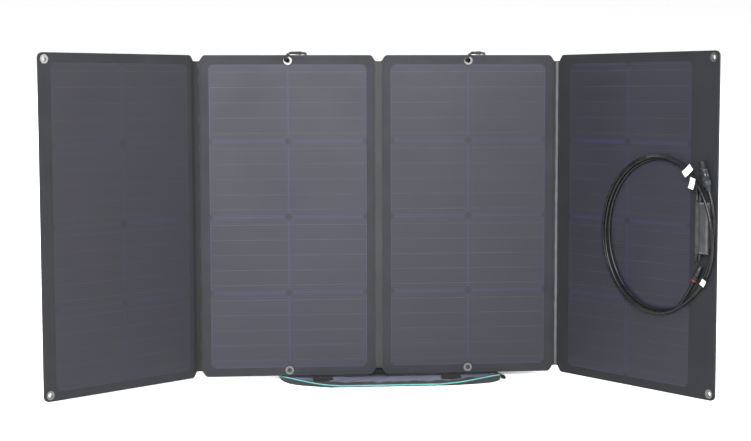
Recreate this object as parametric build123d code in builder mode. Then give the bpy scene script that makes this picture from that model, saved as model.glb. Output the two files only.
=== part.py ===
"""A folding solar blanket of four stiffened panels, hooked on the carry case that props it up.

Millimetres. +Z is up and the solar faces look along -Y. The origin is on the floor, under the
middle fold line, in the plane of the panels' back faces. The blanket leans back by LEAN and its
two outer panels are folded forward. The opened case stands behind it like a tent.
"""

import math
import os

from build123d import *

os.makedirs("parts", exist_ok=True)

# --- driving dimensions -------------------------------------------------------------------------
LEAN = 10.0  # degrees the blanket leans back
LEFT_FOLD, RIGHT_FOLD = 40.0, 57.0  # degrees the outer panels are folded forward
PANEL_H = 680.0
CENTRE_W, LEFT_W, RIGHT_W = 383.0, 383.0, 436.0  # fold line to fold line, or to the outer edge
FOOT_GAP = 12.0  # lower edge above the floor, along the panel

BACK_T, BOARD_T, COVER_T = 0.8, 2.4, 1.0  # back fabric, stiff board, front fabric
FRONT_Z = BACK_T + BOARD_T + COVER_T  # front surface above the back face, and the fold axis
TONGUE_Z = FRONT_Z - 0.8  # the bare fabric beside a fold line is pressed thinner
TONGUE_W = 9.0  # its width on each side of the fold line
NOTCH_FLOOR, NOTCH_MOUTH, NOTCH_D = 6.5, 15.0, 12.5
NOTCH_SHOULDER_R, NOTCH_FLOOR_R = 8.0, 2.5
FOLD_GAP = 0.15  # each panel stops this short of its fold line
EDGE_R = 11.0
BOARD_INSET = 11.0

CELL_COLS, CELL_ROWS = 2, 4
CELL_PITCH_X, CELL_PITCH_Y = 165.7, 160.7
CELL_W, CELL_H, CELL_T, CELL_CUT = 162.5, 157.5, 0.4, 7.0
CENTRE_CELLS, LEFT_CELLS, RIGHT_CELLS = 25.8, 23.6, 38.0  # fold line to the first cell
CELLS_FOOT = 17.8
FILM_T, FILM_R = 1.0, 10.0

EYELET_R, EYELET_BARREL_R, EYELET_FLANGE_R, EYELET_FLANGE_T = 4.75, 5.7, 9.0, 0.9
EYELET_CORNER, EYELET_EDGE = 13.0, 11.5  # eyelet centre to the edges

CASE_X, CASE_W, CASE_FOOT, CASE_TOP = 24.0, 440.0, 6.0, 672.0
CASE_FRONT_Z, CASE_SKIN, CASE_CORE = -5.0, 1.4, 3.0  # lining's face, fabric, stiff core
CASE_CORNER_R, FLAP_W, FLAP_T = 18.0, 18.0, 2.0
SPINE_H, SPINE_Z, SPINE_R = 674.7, -15.4, 2.0
LEG_ANGLE = 12.0  # degrees from vertical
GUSSET_T, GUSSET_FRONT, GUSSET_BACK = 3.0, 45.5, 14.0
GUSSET_HALF, GUSSET_SHOULDER = 238.0, 168.0
ZIP_W, ZIP_T = 5.0, 2.6
PAD_X, PAD_W, PAD_D, PAD_T = 139.0, 42.0, 17.0, 1.0

WIRE_R, GATE_R = 1.6, 1.3
RING_YAW, RING_ROLL = 38.0, 38.0  # turned to the right, and leaning to the right
RING_H, RING_FRONT, RING_BACK = 20.5, -12.0, 52.0
GATE_FROM, GATE_TO, GATE_GAP = 11.0, 34.0, 0.6
LOOP_AT, LOOP_W, LOOP_LONG, LOOP_HOLE, LOOP_WALL = 22.0, 8.0, 7.0, 2.3, 1.4

BOX_U, BOX_H, BOX_W, BOX_L, BOX_T = 407.0, 337.0, 34.0, 102.0, 13.0
LID_U, LID_W = 5.0, 24.0  # from the middle of the base
DUCT_U, DUCT_W, DUCT_T = -12.3, 9.0, 4.4  # the raised cable duct beside the lid
BOX_BASE_T, BOX_CROWN_R, BOX_LIP = 4.0, 5.5, 0.6
GLAND_R, GLAND_L, GLAND_U, GLAND_APART = 3.4, 13.0, -11.5, 8.6
LEAD_R = 3.0
COIL_U, COIL_H, COIL_RX, COIL_RY, COIL_T = 288.6, 316.8, 151.4, 161.9, 13.0
COIL_SHIFT, COIL_INNER_RX, COIL_INNER_RY = 6.0, 132.8, 149.5

# --- planes ------------------------------------------------------------------------------------
ex = Vector(1, 0, 0)
lean = math.radians(LEAN)
up = Vector(0, math.sin(lean), math.cos(lean))  # up along the blanket
out = Vector(0, -math.cos(lean), math.sin(lean))  # out of its solar face


def panel_plane(fold, hinge_x):
    """Back face of a panel turned by fold degrees about the fold axis at hinge_x.

    Positive folds bring its right-hand side forward, negative ones its left-hand side.
    """
    turn = math.radians(fold)
    x_dir = ex * math.cos(turn) + out * math.sin(turn)
    z_dir = out * math.cos(turn) - ex * math.sin(turn)
    axis_point = ex * hinge_x + out * FRONT_Z
    return Plane(origin=axis_point - z_dir * FRONT_Z, x_dir=x_dir, z_dir=z_dir)


centre_plane = panel_plane(0, 0)
left_plane = panel_plane(-LEFT_FOLD, -CENTRE_W)
right_plane = panel_plane(RIGHT_FOLD, CENTRE_W)
foot, top = FOOT_GAP, FOOT_GAP + PANEL_H
middle = CENTRE_W / 2
array_w, array_h = CELL_COLS * CELL_PITCH_X, CELL_ROWS * CELL_PITCH_Y

# name: plane, left side, right side, left side folds, right side folds, cells' left side, eyelets
panels = {
    "left_wing": (
        left_plane, -LEFT_W, 0.0, False, True, -LEFT_CELLS - array_w,
        [(-LEFT_W + EYELET_CORNER, foot + EYELET_CORNER), (-LEFT_W + EYELET_CORNER, top - EYELET_CORNER)],
    ),
    "left_centre": (
        centre_plane, -CENTRE_W, 0.0, True, True, -CENTRE_CELLS - array_w,
        [(-middle, foot + EYELET_EDGE), (-middle, top - EYELET_EDGE)],
    ),
    "right_centre": (
        centre_plane, 0.0, CENTRE_W, True, True, CENTRE_CELLS,
        [(middle, foot + EYELET_EDGE), (middle, top - EYELET_EDGE)],
    ),
    "right_wing": (
        right_plane, 0.0, RIGHT_W, True, False, RIGHT_CELLS,
        [(RIGHT_W - EYELET_CORNER, foot + EYELET_CORNER), (RIGHT_W - EYELET_CORNER, top - EYELET_CORNER)],
    ),
}  # fmt: skip


def save(part, name):
    part.label = name
    export_step(part, f"parts/{name}.step")


# --- the four panels ---------------------------------------------------------------------------
def side_points(x, inward, folds, upper):
    """A panel outline's points at one side's upper or lower corner, from the edge to the side."""
    y, into = (top, -1) if upper else (foot, 1)
    if not folds:
        return [(x, y)]
    return [
        (x + inward * NOTCH_MOUTH, y),
        (x + inward * NOTCH_FLOOR, y + into * NOTCH_D),
        (x + inward * FOLD_GAP, y + into * NOTCH_D),
    ]


def outline(x0, x1, fold0, fold1):
    """The sketch of a panel's whole fabric."""
    points = [
        *side_points(x1, -1, fold1, True),
        *reversed(side_points(x1, -1, fold1, False)),
        *side_points(x0, 1, fold0, False),
        *reversed(side_points(x0, 1, fold0, True)),
    ]
    with BuildSketch() as shape:
        with BuildLine():
            Polyline(*points, close=True)
        make_face()
        for x, folds in ((x0, fold0), (x1, fold1)):
            corners = shape.vertices()
            if folds:
                fillet([v for v in corners if abs(abs(v.X - x) - NOTCH_MOUTH) < 0.01], NOTCH_SHOULDER_R)
                corners = shape.vertices()
                fillet([v for v in corners if abs(abs(v.X - x) - NOTCH_FLOOR) < 0.01], NOTCH_FLOOR_R)
            else:
                fillet([v for v in corners if abs(v.X - x) < 0.01], EDGE_R)
    return shape.sketch_local


def board_rectangle(x0, x1, fold0, fold1, slack=0.0):
    """The stiff board's sketch: clear of the hems and of the bare fabric beside the folds."""
    left = x0 + (TONGUE_W if fold0 else BOARD_INSET) - slack
    right = x1 - (TONGUE_W if fold1 else BOARD_INSET) + slack
    low, high = foot + BOARD_INSET - slack, top - BOARD_INSET + slack
    with Locations(((left + right) / 2, (low + high) / 2)):
        RectangleRounded(right - left, high - low, 6.0)


def cell_centres(left):
    """The middles of a panel's cells."""
    return [
        (left + (i + 0.5) * CELL_PITCH_X, foot + CELLS_FOOT + (j + 0.5) * CELL_PITCH_Y)
        for j in range(CELL_ROWS)
        for i in range(CELL_COLS)
    ]


def window(left):
    """The sketch of the clear window over the cells."""
    with Locations((left + array_w / 2, foot + CELLS_FOOT + array_h / 2)):
        RectangleRounded(array_w, array_h, FILM_R)


def make_panel(name, plane, x0, x1, fold0, fold1, cells_left, eyelets):
    """The six pieces of one panel, back to front."""
    with BuildPart() as back_cover:
        with BuildSketch(plane):
            add(outline(x0, x1, fold0, fold1))
            with Locations(*eyelets):
                Circle(EYELET_BARREL_R + 0.05, mode=Mode.SUBTRACT)
        extrude(amount=BACK_T)
    save(back_cover.part, f"{name}_back_cover")

    with BuildPart() as board:
        with BuildSketch(plane.offset(BACK_T)):
            board_rectangle(x0, x1, fold0, fold1)
            with Locations(*eyelets):
                Circle(EYELET_BARREL_R + 1.6, mode=Mode.SUBTRACT)
        extrude(amount=BOARD_T)
    save(board.part, f"{name}_board")

    with BuildPart() as front_cover:
        with BuildSketch(plane.offset(BACK_T)):
            add(outline(x0, x1, fold0, fold1))
            with Locations(*eyelets):
                Circle(EYELET_BARREL_R + 0.05, mode=Mode.SUBTRACT)
        extrude(amount=FRONT_Z - BACK_T)
        with BuildSketch(plane.offset(BACK_T)):
            board_rectangle(x0, x1, fold0, fold1)
        extrude(amount=BOARD_T, mode=Mode.SUBTRACT)
        with BuildSketch(plane.offset(BACK_T + BOARD_T)):
            window(cells_left)
        extrude(amount=COVER_T, mode=Mode.SUBTRACT)
        with BuildSketch(plane.offset(TONGUE_Z)):
            for x, folds in ((x0, fold0), (x1, fold1)):
                if folds:
                    with Locations((x, (foot + top) / 2)):
                        Rectangle(2 * TONGUE_W - 3.0, PANEL_H + 1)
        extrude(amount=FRONT_Z, mode=Mode.SUBTRACT)
    save(front_cover.part, f"{name}_front_cover")

    with BuildPart() as cells:
        with BuildSketch(plane.offset(BACK_T + BOARD_T)):
            with Locations(*cell_centres(cells_left)):
                wafer = Rectangle(CELL_W, CELL_H)
            chamfer(wafer.vertices(), CELL_CUT)
        extrude(amount=CELL_T)
    save(cells.part, f"{name}_cells")

    with BuildPart() as film:
        with BuildSketch(plane.offset(BACK_T + BOARD_T)):
            window(cells_left)
        extrude(amount=FILM_T)
        add(cells.part, mode=Mode.SUBTRACT)
    save(film.part, f"{name}_film")

    with BuildPart() as rings:
        with BuildSketch(plane.offset(-EYELET_FLANGE_T)):
            with Locations(*eyelets):
                Circle(EYELET_FLANGE_R)
        extrude(amount=EYELET_FLANGE_T)
        with BuildSketch(plane.offset(FRONT_Z)):
            with Locations(*eyelets):
                Circle(EYELET_FLANGE_R)
        extrude(amount=EYELET_FLANGE_T)
        with BuildSketch(plane):
            with Locations(*eyelets):
                Circle(EYELET_BARREL_R)
        extrude(amount=FRONT_Z)
        with BuildSketch(plane.offset(-EYELET_FLANGE_T)):
            with Locations(*eyelets):
                Circle(EYELET_R)
        extrude(amount=FRONT_Z + 2 * EYELET_FLANGE_T, mode=Mode.SUBTRACT)
    save(rings.part, f"{name}_eyelets")


for panel_name, panel in panels.items():
    make_panel(panel_name, *panel)


# --- the case's front half, behind the two middle panels ----------------------------------------
def case_slab(name, plane, low, high, from_z, thickness, width=CASE_W):
    """One full layer of a case half, with rounded lower corners."""
    with BuildPart() as slab:
        with BuildSketch(plane.offset(from_z)) as shape:
            with Locations((0, (low + high) / 2)):
                Rectangle(width, high - low)
            fillet(shape.vertices().group_by(Axis.Y)[0], CASE_CORNER_R)
        extrude(amount=thickness)
    save(slab.part, name)


def case_flaps(name, plane, low, high, from_z):
    """The soft side walls, laid flat outwards beside the stiff part."""
    with BuildPart() as flaps:
        with BuildSketch(plane.offset(from_z)):
            for side in (-1, 1):
                with Locations((side * (CASE_W + FLAP_W) / 2, (low + high) / 2)):
                    RectangleRounded(FLAP_W, high - low, 6.0)
        extrude(amount=FLAP_T)
    save(flaps.part, name)


case_plane = Plane(origin=ex * CASE_X, x_dir=ex, z_dir=out)
core_z = CASE_FRONT_Z - CASE_SKIN - CASE_CORE
case_slab("case_front_lining", case_plane, CASE_FOOT, CASE_TOP, CASE_FRONT_Z - CASE_SKIN, CASE_SKIN)
case_slab("case_front_board", case_plane, CASE_FOOT, CASE_TOP, core_z, CASE_CORE)
case_slab("case_front_shell", case_plane, CASE_FOOT, CASE_TOP, core_z - CASE_SKIN, CASE_SKIN)
case_flaps("case_front_flaps", case_plane, 40.0, CASE_TOP - 8, core_z + 0.5)


def gusset_outline(inset=0.0):
    """The soft lower wall laid on the floor: straight at the back, bowed forward in front."""
    half, shoulder, front = GUSSET_HALF - inset, GUSSET_SHOULDER, -GUSSET_FRONT + inset
    with BuildSketch() as shape:
        with BuildLine():
            Line((-shoulder, front), (shoulder, front))
            Spline((shoulder, front), (half - 22, front + 16), (half, 2), tangents=((1, 0), (0.2, 1)))
            Polyline((half, 2), (half - 20, GUSSET_BACK), (20 - half, GUSSET_BACK), (-half, 2))
            Spline((-half, 2), (22 - half, front + 16), (-shoulder, front), tangents=((0.2, -1), (1, 0)))
        make_face()
    return shape.sketch_local


floor_plane = Plane(origin=(CASE_X, 0, 0))
with BuildPart() as gusset:
    with BuildSketch(floor_plane):
        add(gusset_outline())
    extrude(amount=GUSSET_T)
save(gusset.part, "case_front_gusset")

with BuildPart() as front_zip:
    with BuildSketch(floor_plane.offset(GUSSET_T)):
        add(gusset_outline())
        add(gusset_outline(ZIP_W), mode=Mode.SUBTRACT)
        with Locations((0, GUSSET_BACK)):
            Rectangle(2 * GUSSET_HALF + 10, 2 * GUSSET_BACK, mode=Mode.SUBTRACT)
    extrude(amount=ZIP_T)
save(front_zip.part, "case_front_zip")

with BuildPart() as pads:
    with BuildSketch(floor_plane.offset(GUSSET_T)):
        with Locations((-PAD_X, -20), (PAD_X, -20)):
            Rectangle(PAD_W, PAD_D)
    extrude(amount=PAD_T)
save(pads.part, "case_strap_pads")

# --- the case's fabric spine and its rear half, which is the leg --------------------------------
spine_point = up * SPINE_H + out * SPINE_Z + ex * CASE_X
spine_axis_plane = Plane(origin=spine_point - ex * (CASE_W / 2 - 4), x_dir=-out, z_dir=ex)
with BuildPart() as spine:
    with BuildSketch(spine_axis_plane):
        Circle(SPINE_R)
    extrude(amount=CASE_W - 8)
save(spine.part, "case_spine")

leg = math.radians(LEG_ANGLE)
leg_out = Vector(0, math.cos(leg), math.sin(leg))  # rearwards, out of the leg's lining
leg_plane = Plane(origin=spine_point, x_dir=-ex, z_dir=leg_out)
leg_length = spine_point.Z / math.cos(leg)
LEG_TOP, LEG_HALF_T = -3.2, CASE_CORE / 2 + CASE_SKIN
leg_low = -leg_length + 4.0
case_slab("case_rear_shell", leg_plane, leg_low, LEG_TOP, -LEG_HALF_T, CASE_SKIN)
case_slab("case_rear_board", leg_plane, leg_low, LEG_TOP, -CASE_CORE / 2, CASE_CORE)
case_slab("case_rear_lining", leg_plane, leg_low, LEG_TOP, CASE_CORE / 2, CASE_SKIN)
case_flaps("case_rear_flaps", leg_plane, leg_low + 30, LEG_TOP - 8, -1.0)

# the lower hem, whose underside is cut level with the floor
with BuildPart() as rear_hem:
    with BuildSketch(leg_plane.offset(-LEG_HALF_T)):
        with Locations((0, -leg_length - 10)):
            Rectangle(CASE_W - 2 * CASE_CORNER_R, 28)
    extrude(amount=2 * LEG_HALF_T)
    with BuildSketch(Plane.XY):
        with Locations((CASE_X, 280)):
            Rectangle(CASE_W + 40, 120)
    extrude(amount=-60, mode=Mode.SUBTRACT)
save(rear_hem.part, "case_rear_hem")

with BuildPart() as rear_zip:
    with BuildSketch(leg_plane.offset(-1.0 + FLAP_T)):
        for side in (-1, 1):
            with Locations((side * (CASE_W / 2 + FLAP_W - ZIP_W / 2), (leg_low + LEG_TOP + 22) / 2)):
                Rectangle(ZIP_W, LEG_TOP - leg_low - 52)
    extrude(amount=ZIP_T)
save(rear_zip.part, "case_rear_zip")

pocket_z = LEG_HALF_T
with BuildPart() as pocket:
    with BuildSketch(leg_plane.offset(pocket_z)):
        with Locations((0, leg_low + 190)):
            RectangleRounded(330, 210, 12)
    extrude(amount=2.4)
save(pocket.part, "case_pocket")

with BuildPart() as straps:
    with BuildSketch(leg_plane.offset(pocket_z)):
        with Locations((0, -190)):
            Rectangle(CASE_W - 20, 38)
    extrude(amount=1.2)
save(straps.part, "case_cross_strap")

with BuildPart() as slider:
    with BuildSketch(leg_plane.offset(-1.0 + FLAP_T + ZIP_T + 0.3)):
        with Locations((CASE_W / 2 + FLAP_W - ZIP_W / 2, LEG_TOP - 60)):
            RectangleRounded(9, 15, 3)
    extrude(amount=4.0)
    with BuildSketch(leg_plane.offset(-1.0 + FLAP_T + ZIP_T + 4.3)):
        with Locations((CASE_W / 2 + FLAP_W - ZIP_W / 2, LEG_TOP - 78)):
            RectangleRounded(5, 46, 2)
    extrude(amount=1.4)
save(slider.part, "zip_slider")

# --- the two carabiners over the middle panels' upper eyelets -----------------------------------
yaw = math.radians(RING_YAW)
ring_along = ex * math.sin(yaw) - out * math.cos(yaw)  # backwards and to the right
ring_right = ring_along.cross(up)
roll = math.radians(RING_ROLL)
ring_up = up * math.cos(roll) + ring_right * math.sin(roll)
ring_side = ring_along.cross(ring_up)
end_r = RING_H / 2


def ring_plane(x):
    """The plane of the carabiner in the upper eyelet at x: along it, then up."""
    middle_z = FRONT_Z / 2
    origin = ex * x + up * (top - EYELET_EDGE) + out * middle_z
    return Plane(origin=origin, x_dir=ring_along, z_dir=ring_side)


def make_carabiner(name, x):
    """An oval wire frame, the sprung gate in its upper side and the webbing loop round it."""
    plane = ring_plane(x)
    front, back = RING_FRONT + end_r, RING_BACK - end_r
    with BuildPart() as frame:
        with BuildLine(plane) as path:
            Line((GATE_FROM, RING_H), (front, RING_H))
            ThreePointArc((front, RING_H), (RING_FRONT, end_r), (front, 0))
            Line((front, 0), (back, 0))
            ThreePointArc((back, 0), (RING_BACK, end_r), (back, RING_H))
            Line((back, RING_H), (GATE_TO, RING_H))
        with BuildSketch(Plane(origin=path.line @ 0, z_dir=path.line % 0)):
            Circle(WIRE_R)
        sweep()
    save(frame.part, f"{name}_carabiner_frame")

    start = plane.from_local_coords((GATE_FROM + GATE_GAP, RING_H, 0))
    with BuildPart() as gate:
        with BuildSketch(Plane(origin=start, z_dir=ring_along)):
            Circle(GATE_R)
        extrude(amount=GATE_TO - GATE_FROM - 2 * GATE_GAP)
    save(gate.part, f"{name}_carabiner_gate")

    loop_start = plane.from_local_coords((LOOP_AT - LOOP_LONG / 2, 0, 0))
    with BuildPart() as loop:
        with BuildSketch(Plane(origin=loop_start, x_dir=ring_side, z_dir=ring_along)):
            Circle(LOOP_HOLE + LOOP_WALL)
            Circle(LOOP_HOLE, mode=Mode.SUBTRACT)
        extrude(amount=LOOP_LONG)
    save(loop.part, f"{name}_case_loop")


make_carabiner("left", -middle)
make_carabiner("right", middle)

# --- the junction box on the right wing ---------------------------------------------------------
box_plane = Plane(
    origin=right_plane.from_local_coords((BOX_U, foot + BOX_H, FRONT_Z)),
    x_dir=right_plane.x_dir,
    z_dir=right_plane.z_dir,
)
with BuildPart() as box_base:
    with BuildSketch(box_plane):
        RectangleRounded(BOX_W + 2 * BOX_LIP, BOX_L + 2 * BOX_LIP, 3.1)
    extrude(amount=BOX_BASE_T)
    with BuildSketch(box_plane.offset(BOX_BASE_T)):
        with Locations((DUCT_U, 0)):
            RectangleRounded(DUCT_W, BOX_L, 1.6)
    extrude(amount=DUCT_T)
save(box_base.part, "junction_box_base")

with BuildPart() as box_lid:
    with BuildSketch(box_plane.offset(BOX_BASE_T)):
        with Locations((LID_U, 0)):
            RectangleRounded(LID_W, BOX_L, 2.5)
    extrude(amount=BOX_T - BOX_BASE_T)
    top_edges = box_lid.edges().filter_by(
        lambda e: abs(box_plane.to_local_coords(e.center()).Z - BOX_T) < 0.01
    )
    fillet(top_edges, BOX_CROWN_R)
save(box_lid.part, "junction_box_lid")

gland_z = 5.6
gland_places = [(GLAND_U + side * GLAND_APART / 2, end) for end in (-1, 1) for side in (-1, 1)]
with BuildPart() as glands:
    for gx, end in gland_places:
        start = box_plane.from_local_coords((gx, end * (BOX_L / 2 + BOX_LIP), gland_z))
        with BuildSketch(Plane(origin=start, z_dir=right_plane.y_dir * end)):
            Circle(GLAND_R)
        extrude(amount=GLAND_L, taper=3)
save(glands.part, "junction_box_glands")


# --- the two leads ------------------------------------------------------------------------------
def wing_point(u, h, z):
    """A point of the right wing from its fold line, its lower edge and its front face."""
    return right_plane.from_local_coords((u, foot + h, FRONT_Z + z))


coil_floor = 1.4
coil_plane = Plane(
    origin=wing_point(COIL_U, COIL_H, coil_floor), x_dir=right_plane.x_dir, z_dir=right_plane.z_dir
)
with BuildPart() as coil:
    with BuildSketch(coil_plane):
        Ellipse(COIL_RX, COIL_RY)
        with Locations((COIL_SHIFT, 0)):
            Ellipse(COIL_INNER_RX, COIL_INNER_RY, mode=Mode.SUBTRACT)
        with Locations((BOX_U - COIL_U, BOX_H - COIL_H)):
            Rectangle(BOX_W + 3.2, BOX_L + 4, mode=Mode.SUBTRACT)
    extrude(amount=COIL_T)
save(coil.part, "lead_coil")

# each lead shows twice: from its upper gland to the coil, and from the coil to its connector
lead_routes = {
    "lead_a": (
        [(391.2, 401.6, 5.6), (391.0, 411.0, 6.2), (389.2, 421.0, 7.0)],
        [(434.5, 362.0, 8.0), (430.9, 386.0, 9.0), (424.0, 410.0, 10.0)],
    ),
    "lead_b": (
        [(399.8, 401.6, 5.6), (399.6, 405.0, 5.8), (399.0, 408.6, 6.2)],
        [(356.5, 185.0, 6.4), (373.5, 208.5, 7.0), (388.0, 233.0, 7.6)],
    ),
}


def make_lead(name, routes):
    """The open stretches of a lead: straight runs joined by tangent arcs."""
    length = 0
    with BuildPart() as lead:
        for route in routes:
            points = [wing_point(*place) for place in route]
            first, second = points[1] - points[0], points[2] - points[1]
            turn = math.radians(first.get_angle(second))
            radius = 0.45 * min(first.length, second.length) / math.tan(turn / 2)
            with BuildLine() as path:
                FilletPolyline(*points, radius=radius)
            with BuildSketch(Plane(origin=path.line @ 0, z_dir=path.line % 0)):
                Circle(LEAD_R)
            sweep(path=path.line)
            length += sum(edge.length for edge in path.edges())
            print(name, "radius", round(radius, 1))
    section = math.pi * LEAD_R**2
    print(name, "volume", round(lead.part.volume), "expected", round(section * length))
    save(lead.part, name)
    return points[-1], second.normalized()


lead_ends = {lead: make_lead(lead, routes) for lead, routes in lead_routes.items()}

# grip radius and length, body radius and length
CONNECTOR_A = 8.8, 21.0, 8.2, 38.0
CONNECTOR_B = 6.6, 11.0, 5.8, 25.0


def make_connector(name, end, grip_r, grip_l, body_r, body_l):
    """A round cable connector: the grip on the lead, then the body with its slimmer nose."""
    point, along = end
    with BuildPart() as grip:
        with BuildSketch(Plane(origin=point, z_dir=along)):
            RegularPolygon(grip_r, 12)
        extrude(amount=grip_l)
    save(grip.part, f"{name}_grip")
    nose = point + along * (grip_l + 0.65 * body_l)
    with BuildPart() as body:
        with BuildSketch(Plane(origin=point + along * grip_l, z_dir=along)):
            Circle(body_r)
        extrude(amount=0.65 * body_l)
        with BuildSketch(Plane(origin=nose, z_dir=along)):
            Circle(body_r - 1.6)
        extrude(amount=0.35 * body_l)
    save(body.part, f"{name}_body")


make_connector("connector_a", lead_ends["lead_a"], *CONNECTOR_A)
make_connector("connector_b", lead_ends["lead_b"], *CONNECTOR_B)

TAG_W, TAG_L, TAG_T, TAG_Z = 24.0, 15.0, 0.5, 15.4
with BuildPart() as tags:
    for u, h, turn in ((375.6, 448.0, 40.0), (386.0, 423.5, 70.0)):
        spin = math.radians(turn)
        x_dir = right_plane.x_dir * math.cos(spin) + right_plane.y_dir * math.sin(spin)
        with BuildSketch(Plane(origin=wing_point(u, h, TAG_Z), x_dir=x_dir, z_dir=right_plane.z_dir)):
            Rectangle(TAG_W, TAG_L)
        extrude(amount=TAG_T)
save(tags.part, "lead_tags")
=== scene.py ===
"""A folding solar panel on its opened zip case: looks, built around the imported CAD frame.

Lengths in this script are millimetres until they reach Blender, which has metres.
"""

import math

import bmesh
import bpy
from mathutils import Matrix, Vector, noise


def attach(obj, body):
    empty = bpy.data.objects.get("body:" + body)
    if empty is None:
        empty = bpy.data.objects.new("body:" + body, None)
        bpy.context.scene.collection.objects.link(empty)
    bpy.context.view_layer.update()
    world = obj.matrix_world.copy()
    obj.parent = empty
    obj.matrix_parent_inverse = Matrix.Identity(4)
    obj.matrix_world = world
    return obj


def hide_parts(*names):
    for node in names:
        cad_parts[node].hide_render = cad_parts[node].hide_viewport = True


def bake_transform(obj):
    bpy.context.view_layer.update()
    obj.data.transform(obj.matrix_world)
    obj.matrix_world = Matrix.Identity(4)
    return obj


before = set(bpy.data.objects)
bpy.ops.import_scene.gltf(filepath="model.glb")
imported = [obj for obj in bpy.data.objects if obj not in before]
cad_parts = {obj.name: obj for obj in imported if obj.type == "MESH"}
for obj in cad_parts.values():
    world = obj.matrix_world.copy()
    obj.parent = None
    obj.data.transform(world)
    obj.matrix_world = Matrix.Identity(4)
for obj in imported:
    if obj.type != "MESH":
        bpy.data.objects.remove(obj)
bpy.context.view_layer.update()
MM = 0.001

# --- the shared frame ---------------------------------------------------------------------------
LEAN = math.radians(10)
EX = Vector((1, 0, 0))
UP = Vector((0, math.sin(LEAN), math.cos(LEAN)))
OUT = Vector((0, -math.cos(LEAN), math.sin(LEAN)))
FRONT_Z = 4.2
FOOT, TOP = 12.0, 692.0


class Face:
    """A plane with millimetre coordinates: x along it, y up it and z out of it."""

    def __init__(self, origin, x, y, z):
        self.origin, self.x, self.y, self.z = origin, x, y, z

    def at(self, x, y, z=0.0):
        return (self.origin + self.x * x + self.y * y + self.z * z) * MM

    def euler(self):
        return Matrix((self.x, self.y, self.z)).transposed().to_euler()


def bent_axes(degrees):
    """A panel's own x and z when it is turned forward by an angle."""
    turn = math.radians(degrees)
    x = EX * math.cos(turn) + OUT * math.sin(turn)
    z = OUT * math.cos(turn) - EX * math.sin(turn)
    return x, z


def panel_face(fold, hinge_x):
    x, z = bent_axes(fold)
    return Face(EX * hinge_x + OUT * FRONT_Z - z * FRONT_Z, x, UP, z)


LEFT_FOLD, RIGHT_FOLD = 40.0, 57.0
PANEL_W, BOX_PANEL_W = 383.0, 436.0
centre = panel_face(0, 0)
left = panel_face(-LEFT_FOLD, -PANEL_W)
right = panel_face(RIGHT_FOLD, PANEL_W)
# name: face, body, left and right sides, which of them fold, and the cells' left side
PANELS = {
    "left_wing": (left, "left_wing", -PANEL_W, 0.0, (False, True), -355.0),
    "left_centre": (centre, "stand", -PANEL_W, 0.0, (True, True), -357.2),
    "right_centre": (centre, "right_centre", 0.0, PANEL_W, (True, True), 25.8),
    "right_wing": (right, "right_wing", 0.0, BOX_PANEL_W, (True, False), 38.0),
}
PITCH_X, PITCH_Y, CELLS_FOOT = 165.7, 160.7, FOOT + 17.8
DIMPLE = 5.3
CORNER_R, NOTCH_R, NOTCH_FOOT_R = 11.0, 8.0, 2.5
NOTCH_AT, NOTCH_FOOT_AT, NOTCH_DEEP = 15.0, 6.5, 12.5
STITCH_PITCH, STITCH_LONG, STITCH_WIDE, STITCH_RISE = 4.4, 3.1, 0.7, 0.35
ROUND_STEPS = 5

# --- camera -------------------------------------------------------------------------------------
LENS, SENSOR, FAR = 74.23, 36.0, 50.0
CAMERA_AT = (-0.2994, -3.1171, 1.1698)
YAW, PITCH, ROLL = 0.0919, 0.2555, 0.0134
data = bpy.data.cameras.new("camera")
data.lens = LENS
data.sensor_width = SENSOR
data.clip_end = FAR
camera = bpy.data.objects.new("camera", data)
bpy.context.scene.collection.objects.link(camera)
ahead = math.cos(PITCH)
look = Vector((math.sin(YAW) * ahead, math.cos(YAW) * ahead, -math.sin(PITCH)))
turned = look.to_track_quat("-Z", "Y").to_matrix().to_4x4() @ Matrix.Rotation(ROLL, 4, "Z")
camera.matrix_world = Matrix.Translation(CAMERA_AT) @ turned
bpy.context.scene.camera = camera


# --- mesh helpers -------------------------------------------------------------------------------
def mesh_object(name, verts, faces, smooth=True):
    """An object of points in metres, with its faces turned outwards."""
    mesh = bpy.data.meshes.new(name)
    mesh.from_pydata([tuple(v) for v in verts], [], faces)
    mesh.update()
    bm = bmesh.new()
    bm.from_mesh(mesh)
    bmesh.ops.recalc_face_normals(bm, faces=bm.faces)
    bm.to_mesh(mesh)
    bm.free()
    for polygon in mesh.polygons:
        polygon.use_smooth = smooth
    made = bpy.data.objects.new(name, mesh)
    bpy.context.scene.collection.objects.link(made)
    return made


def cloth(name, across, along, point, thickness):
    """A closed sheet of cloth: point(u, v) is its upper face, and it is that much thick (mm)."""
    cols = across + 1
    upper = [[point(i / across, j / along) for i in range(cols)] for j in range(along + 1)]
    top = [place for row in upper for place in row]
    under, faces = [], []
    for j, row in enumerate(upper):
        for i, place in enumerate(row):
            du = row[min(i + 1, across)] - row[max(i - 1, 0)]
            dv = upper[min(j + 1, along)][i] - upper[max(j - 1, 0)][i]
            under.append(place - du.cross(dv).normalized() * thickness * MM)
    size = len(top)
    for j in range(along):
        for i in range(across):
            a = j * cols + i
            b, c, d = a + 1, a + cols + 1, a + cols
            faces.append((a, b, c, d))
            faces.append((size + d, size + c, size + b, size + a))
    rim = list(range(across))
    rim += [across + cols * j for j in range(along)]
    rim += [cols * along + i for i in range(across, 0, -1)]
    rim += [cols * j for j in range(along, 0, -1)]
    for a, b in zip(rim, rim[1:] + rim[:1]):
        faces.append((b, a, size + a, size + b))
    return mesh_object(name, top + under, faces)


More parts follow.
